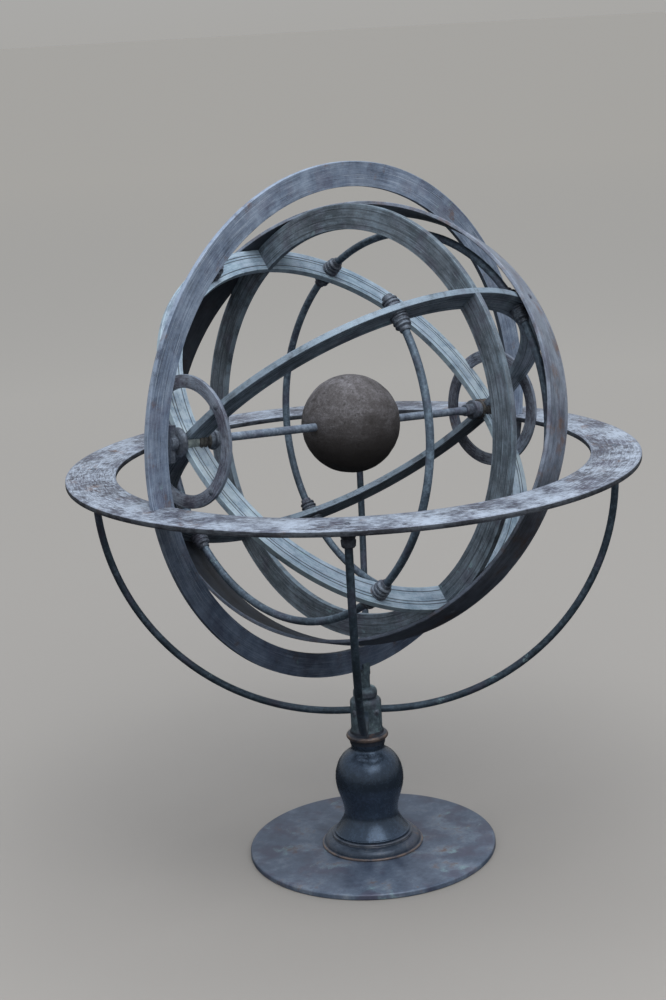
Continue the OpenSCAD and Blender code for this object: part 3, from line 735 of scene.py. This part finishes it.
def ferrule(number, degrees_round):
    low = FERRULE_Z
    high = low + FERRULE_H
    r = ROD_D / 2
    seat = high - 0.1 * MM
    outline = [(r, low), (r + 1.4 * MM, low), (r + 2.2 * MM, low + 1 * MM)]
    outline += [(r + 2.6 * MM, low + FERRULE_H * 0.4), (r + 1.8 * MM, low + FERRULE_H * 0.5)]
    outline += swell(r + 2.4 * MM, low + FERRULE_H * 0.55, FERRULE_R, high - 1.5 * MM, 8)
    outline += [(FERRULE_R, seat), (r, seat)]
    bm = spun(outline, closed=True, steps=48)
    at = turn(radians(degrees_round), "Z") @ Matrix.Translation((ROD_R, 0, 0))
    piece = finish_mesh(bm, f"rod_ferrule_{number}", at)
    dress(piece, "base", "fittings", fitting_bronze, f"ferrule_{number}")


# ---------- rings ----------

def block(low, high):
    bm = bmesh.new()
    bmesh.ops.create_cube(bm, size=1)
    size = [b - a for a, b in zip(low, high)]
    bmesh.ops.scale(bm, verts=bm.verts, vec=size)
    bmesh.ops.translate(bm, verts=bm.verts, vec=[(a + b) / 2 for a, b in zip(low, high)])
    return bm


def horizon_ring():
    outline = ring_outline(HORIZON_R, HORIZON_IN, HORIZON_T, edge=HORIZON_EASED)
    piece = finish_mesh(spun(outline, closed=True, steps=256), "horizon_plate",
                        place(HORIZON_TOP - HORIZON_T / 2))
    rise = CENTRE.z - HORIZON_TOP
    notch_r = sqrt(MERIDIAN_R ** 2 - rise ** 2) + NOTCH_GAP
    slots = []
    for side in (-1, 1):
        ends = sorted((side * (HORIZON_IN - 2 * MM), side * notch_r))
        slots.append(block((ends[0], -NOTCH_W / 2, HORIZON_TOP - 3 * HORIZON_T),
                           (ends[1], NOTCH_W / 2, HORIZON_TOP + HORIZON_T)))
    cut(piece, join(slots))
    dress(piece, "base", "horizon_metal", horizon_bronze, "horizon_ring")


def meridian_ring():
    outline = ring_outline(MERIDIAN_R, MERIDIAN_IN, MERIDIAN_T)
    piece = finish_mesh(spun(outline, closed=True, steps=256), "meridian_plate", MERIDIAN_FRAME,
                        RING_SHARP)
    dress(piece, "meridian", "meridian_metal", meridian_bronze, "meridian_ring")


def equator_ring():
    outline = ring_outline(SPHERE_R, SPHERE_IN, SPHERE_T, EQUATOR_GROOVES)
    piece = finish_mesh(spun(outline, closed=True, steps=256), "equator_plate", ON_SPHERE,
                        RING_SHARP)
    dress(piece, "sphere", "ring_metal", equator_bronze, "equator_ring")


def colure_half(name, angle, material):
    """Half of a colure: it starts and ends inside the bosses."""
    outline = ring_outline(SPHERE_R, SPHERE_IN, SPHERE_T, COLURE_GROOVES)
    short = asin((BOSS_R - COLURE_IN_BOSS) / SPHERE_R)
    bm = part_spun(outline, short - pi / 2, pi / 2 - short, steps=128)
    piece = finish_mesh(bm, f"{name}_plate", colure_frame(angle), RING_SHARP)
    dress(piece, "sphere", "ring_metal", material, name)


def ecliptic_band():
    e, half = 0.5 * MM, BAND_W / 2
    line = half - 5.4 * MM
    line_w, line_depth = 0.8 * MM, 0.25 * MM
    outline = [(BAND_R - e, half), (BAND_R, half - e), (BAND_R, line + line_w / 2),
               (BAND_R - line_depth, line), (BAND_R, line - line_w / 2)]
    outline += [(r, -z) for r, z in reversed(outline)]
    outline += [(BAND_IN + e, -half), (BAND_IN, e - half)]
    outline += [(BAND_IN, half - e), (BAND_IN + e, half)]
    piece = finish_mesh(spun(outline, closed=True, steps=256), "zodiac_band", BAND_FRAME,
                        RING_SHARP)
    dress(piece, "sphere", "band_metal", band_bronze, "ecliptic_band")


def polar_circle(north):
    name = "north" if north else "south"
    outline = ring_outline(POLAR_R, POLAR_R - POLAR_W, POLAR_T)
    at = pole_frame(north) @ place(POLAR_Z + POLAR_T / 2)
    piece = finish_mesh(spun(outline, closed=True, steps=128), f"{name}_polar_plate", at)
    dress(piece, "sphere", "ring_metal", polar_bronze, f"{name}_polar_circle")


# ---------- tropics ----------

def tropic_rods(north):
    name = "north" if north else "south"
    z = TROPIC_Z if north else -TROPIC_Z
    ends = asin((SPHERE_T / 2 + FIT) / (TROPIC_R - TROPIC_D / 2))
    for i in range(4):
        if f"{name}_tropic_{i + 1}" not in frame["nodes"]:
            continue
        section = arc(TROPIC_R, 0, TROPIC_D / 2, 0, 345, 23)
        bm = part_spun(section, ends, pi / 2 - ends, steps=40)
        at = ON_SPHERE @ place(z) @ turn(i * pi / 2, "Z")
        piece = finish_mesh(bm, f"{name}_tropic_rod_{i + 1}", at)
        dress(piece, "sphere", "rod_metal", tropic_bronze, f"{name}_tropic_{i + 1}")


def tropic_ferrule():
    """A turned ferrule with beads, growing towards the colure."""
    r = TROPIC_D / 2
    bead = TIP_LEN * 0.088
    into_ring = TIP_LEN + 0.6 * MM
    outline = [(r, 0), (r + 0.8 * MM, 0), (r + 1.1 * MM, 0.4 * MM), (r + 1.3 * MM, TIP_LEN * 0.2)]
    for middle, less in ((0.34, 0.75 * MM), (0.58, 0.35 * MM), (0.84, 0)):
        outline += arc(TIP_R - less - bead, TIP_LEN * middle, bead, -80, 80, 6)
    outline += [(TIP_R, TIP_LEN * 0.96), (TIP_R, into_ring), (r, into_ring)]
    return spun(outline, closed=True, steps=40)


def tropic_ferrules(north):
    name = "north" if north else "south"
    z = TROPIC_Z if north else -TROPIC_Z
    tilt = asin((TIP_LEN / 2 + SPHERE_T / 2) / TROPIC_R)
    parts = []
    for i in range(4):
        for side in (1, -1):
            round_ring = turn(i * pi / 2 + side * tilt, "Z")
            out = Matrix.Translation((TROPIC_R, side * TIP_LEN / 2, 0))
            lying = turn(side * pi / 2, "X")
            parts.append(moved(tropic_ferrule(), ON_SPHERE @ place(z) @ round_ring @ out @ lying))
    piece = finish_mesh(join(parts), f"{name}_tropic_turnings", Matrix.Identity(4))
    dress(piece, "sphere", "fittings", fitting_bronze, f"{name}_tropic_ferrules")


# ---------- axle, ball and pole fittings ----------

def earth_ball():
    """The ball, not quite round, with its surface dented."""
    bm = bmesh.new()
    bmesh.ops.create_icosphere(bm, subdivisions=6, radius=BALL_R - BALL_ROOM)
    for v in bm.verts:
        p = v.co / BALL_R
        dent = sum(deep * noise.noise(p * often) for deep, often in BALL_DENTS)
        v.co += v.co.normalized() * dent * MM
    piece = finish_mesh(bm, "ball_turning", ON_SPHERE, sharp=180)
    dress(piece, "sphere", "ball", ball_skin, "earth_ball")


def pole_fittings(north):
    """On the axle at one pole: a boss with beads, a collar inside it and a nut outside."""
    name = "north" if north else "south"
    at = pole_frame(north)
    pole_boss(name, at)
    pole_collar(name, at)
    pole_nut(name, at)


def pole_boss(name, at):
    """The plain barrel of the boss, and its three beads as a piece of their own."""
    r = AXLE_R
    beads_end = BOSS_LEN * 0.46
    barrel_r, bead = BOSS_R - 1.4 * MM, 1.7 * MM
    inner_end = at @ place(BOSS_OUT - BOSS_LEN)
    barrel = [(r, beads_end), (barrel_r, beads_end), (barrel_r, BOSS_LEN - 0.6 * MM),
              (BOSS_R - 2 * MM, BOSS_LEN), (r, BOSS_LEN)]
    piece = finish_mesh(spun(barrel, closed=True, steps=64), f"{name}_boss_turning", inner_end)
    dress(piece, "sphere", "fittings", boss_bronze, f"{name}_boss")
    beads = [(r, 0), (BOSS_R - 1.6 * MM, 0)]
    for i in range(3):
        beads += arc(BOSS_R - bead, beads_end * (i + 0.5) / 3, bead, -80, 80, 8)
    beads += [(barrel_r, beads_end - FIT), (r, beads_end - FIT)]
    piece = finish_mesh(spun(beads, closed=True, steps=64), f"{name}_boss_beads", inner_end)
    dress(piece, "sphere", "fittings", ring_dark)


def pole_collar(name, at):
    r, length = AXLE_R, POLE_COLLAR_LEN
    neck, bead = r + 1.8 * MM, 1.8 * MM
    outline = [(r, 0), (r + 1.2 * MM, 0), (neck, 0.6 * MM), (neck, length * 0.5)]
    outline += arc(BOSS_R - 2 * MM, length * 0.62, bead, -90, 90, 8)
    outline += [(BOSS_R - 1.5 * MM, length * 0.78), (BOSS_R - 1.5 * MM, length), (r, length)]
    piece = finish_mesh(spun(outline, closed=True, steps=64), f"{name}_collar_turning",
                        at @ place(BOSS_OUT - BOSS_LEN - length - FIT))
    dress(piece, "sphere", "fittings", fitting_bronze, f"{name}_collar")


def pole_nut(name, at):
    r = AXLE_R
    eased, side, land = 0.4 * MM, 1.4 * MM, r + 2 * MM
    outline = [(r, 0), (NUT_R - eased, 0), (NUT_R, eased), (NUT_R, side)]
    for a in range(10, 80, 8):
        outline.append((land + (NUT_R - land) * cos(radians(a)),
                        side + (NUT_LEN - side) * sin(radians(a))))
    outline += [(r + 1.4 * MM, NUT_LEN), (r, NUT_LEN)]
    piece = finish_mesh(spun(outline, closed=True, steps=64), f"{name}_nut_turning",
                        at @ place(BOSS_OUT + FIT))
    dress(piece, "sphere", "fittings", fitting_bronze, f"{name}_nut")


def keep(node, material):
    """Keeps a CAD node's shape and gives it its finish."""
    data = frame["nodes"][node].data
    data.materials.clear()
    data.materials.append(material)


base_plate()
base_flange()
baluster()
collar()
cradle_head()
for count, angle_round in enumerate(ROD_SPACING, 1):
    cradle_rod(count, angle_round)
    ferrule(count, angle_round)
horizon_ring()
meridian_ring()
equator_ring()
colure_half("equinox_colure_1", 0, equinox_lit_bronze)
colure_half("equinox_colure_2", pi, equinox_lit_bronze)
colure_half("solstice_colure_1", pi / 2, solstice_shaded_bronze)
colure_half("solstice_colure_2", 3 * pi / 2, solstice_shaded_bronze)
ecliptic_band()
earth_ball()
for is_north in (True, False):
    polar_circle(is_north)
    tropic_rods(is_north)
    tropic_ferrules(is_north)
    pole_fittings(is_north)
for node_name in ("head_screws", "horizon_rivets", "bearing_screws", "ecliptic_rivets",
                  "polar_rivets", "north_bearing", "south_bearing", "tie_bolt"):
    keep(node_name, fitting_bronze)
keep("fork_cap", head_bronze)
keep("polar_axle", axle_bronze)


# ---------- floor, light and camera ----------

FLOOR_HALF = 400.0      # metres, so that its edge is out of sight
FLOOR_FADE = 9000       # the floor's tone is spread over this many millimetres from the middle
FLOOR_TONES = [(0.03, linear(164, 157, 150)), (0.25, linear(194, 185, 174)),
               (0.9, linear(203, 192, 178))]
# From straight down to straight up; the sky turns dark a little below the floor's far edge
SKY = [(0.0, (0.012, 0.012, 0.013)), (0.45, (0.028, 0.028, 0.028)), (0.475, (0.06, 0.06, 0.06)),
       (0.476, (0.305, 0.297, 0.282)), (0.75, (0.42, 0.45, 0.49)), (1.0, (0.60, 0.68, 0.78))]
SKY_STRENGTH = 1.25


def studio_floor():
    bm = bmesh.new()
    bmesh.ops.create_grid(bm, x_segments=2, y_segments=2, size=FLOOR_HALF)
    floor = finish_mesh(bm, "studio_floor", Matrix.Identity(4))
    f = Finish("floor_paint", Matrix.Identity(4))
    colour = f.ramp(f.maths("MULTIPLY", f.radius, 1 / FLOOR_FADE), FLOOR_TONES)
    floor.data.materials.append(f.done(colour, 0.95, 0.0))
    floor.visible_diffuse = False
    floor.visible_glossy = False


def area_light(name, at, size, power, colour):
    """A round soft light at a place, turned towards the ball."""
    data = bpy.data.lights.new(name, "AREA")
    data.shape = "DISK"
    data.size = size
    data.energy = power
    data.color = colour
    light = bpy.data.objects.new(name, data)
    bpy.context.scene.collection.objects.link(light)
    light.location = at
    light.rotation_euler = (CENTRE - Vector(at)).to_track_quat("-Z", "Y").to_euler()


def studio_light():
    """Soft light from above, paling down to the floor's edge and dark below it."""
    world = bpy.data.worlds.new("studio")
    bpy.context.scene.world = world
    world.use_nodes = True
    nodes, links = world.node_tree.nodes, world.node_tree.links
    coords = nodes.new("ShaderNodeTexCoord")
    split = nodes.new("ShaderNodeSeparateXYZ")
    links.new(coords.outputs["Generated"], split.inputs[0])
    height = nodes.new("ShaderNodeMapRange")
    height.inputs["From Min"].default_value = -1
    links.new(split.outputs["Z"], height.inputs["Value"])
    ramp = nodes.new("ShaderNodeValToRGB")
    fill_ramp(ramp.color_ramp, SKY)
    links.new(height.outputs[0], ramp.inputs[0])
    links.new(ramp.outputs[0], nodes["Background"].inputs["Color"])
    nodes["Background"].inputs["Strength"].default_value = SKY_STRENGTH
    area_light("overhead", (-0.15, -0.2, 2.0), 1.8, 15, (0.95, 0.98, 1.0))
    area_light("front", (-0.7, -1.5, 2.0), 2.2, 24, (0.93, 0.97, 1.0))


FRAME_HEIGHT, LENS = 36, 68.4       # mm
CAMERA_ROUND = radians(-44.2)       # how far round the column the camera stands
CAMERA_YAW, CAMERA_PITCH, CAMERA_ROLL = radians(-1.53), radians(13.94), radians(-3.2)
CAMERA_AT = (22.2 * MM, -1491.7 * MM, HORIZON_TOP + 335.9 * MM)


def camera():
    data = bpy.data.cameras.new("camera")
    data.sensor_fit = "VERTICAL"
    data.sensor_height = FRAME_HEIGHT
    data.lens = LENS
    data.clip_start = 0.05
    yaw, pitch, roll = CAMERA_YAW, CAMERA_PITCH, CAMERA_ROLL
    look = Vector((sin(yaw) * cos(pitch), cos(yaw) * cos(pitch), -sin(pitch)))
    right = look.cross(Vector((0, 0, 1))).normalized()
    up = right.cross(look)
    right_rolled = right * cos(roll) + up * sin(roll)
    up_rolled = -right * sin(roll) + up * cos(roll)
    facing = Matrix((right_rolled, up_rolled, -look)).transposed().to_4x4()
    eye = bpy.data.objects.new("camera", data)
    bpy.context.scene.collection.objects.link(eye)
    eye.matrix_world = turn(CAMERA_ROUND, "Z") @ Matrix.Translation(CAMERA_AT) @ facing
    bpy.context.scene.camera = eye


studio_floor()
studio_light()
camera()
bpy.context.scene.view_settings.view_transform = "Standard"
